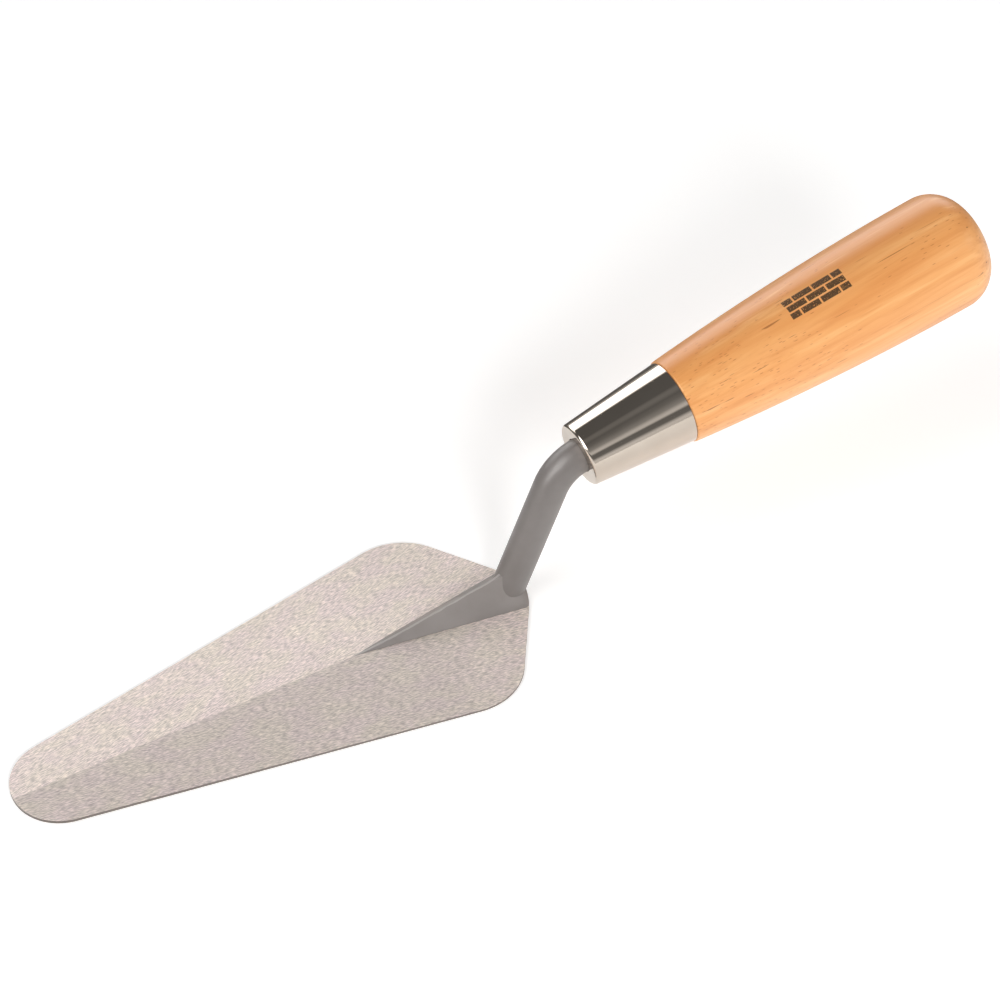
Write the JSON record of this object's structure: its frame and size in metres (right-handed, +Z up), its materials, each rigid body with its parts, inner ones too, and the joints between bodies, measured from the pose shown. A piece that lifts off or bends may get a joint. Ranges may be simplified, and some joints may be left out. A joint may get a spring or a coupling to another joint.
{
  "type": "brick trowel",
  "caption": "Small bricklayer's gauging trowel: rounded kite-shaped steel blade, painted gooseneck, polished ferrule and turned wood handle.",
  "frame": {"origin": "on the plane of the blade's flat underside, at the middle of the tool's footprint (length along X, width along Y)", "axes": "+X from the blade's rounded tip towards the handle's butt, +Y across the blade, +Z up from the blade's underside to its ridged upper face; the tool is symmetric about y = 0"},
  "size_m": [0.354, 0.0806, 0.097],
  "materials": {
    "ground_steel": "ground, fine brush marks",
    "grey_paint": "satin",
    "polished_steel": "mirror polished",
    "lacquered_wood": "clear satin lacquer",
    "epoxy": "cured adhesive, hidden"
  },
  "bodies": {
    "root": {"blade": "ground_steel", "foot": "grey_paint", "neck": "grey_paint", "ferrule": "polished_steel", "handle": "lacquered_wood", "tang_adhesive": "epoxy"}
  },
  "joints": []
}
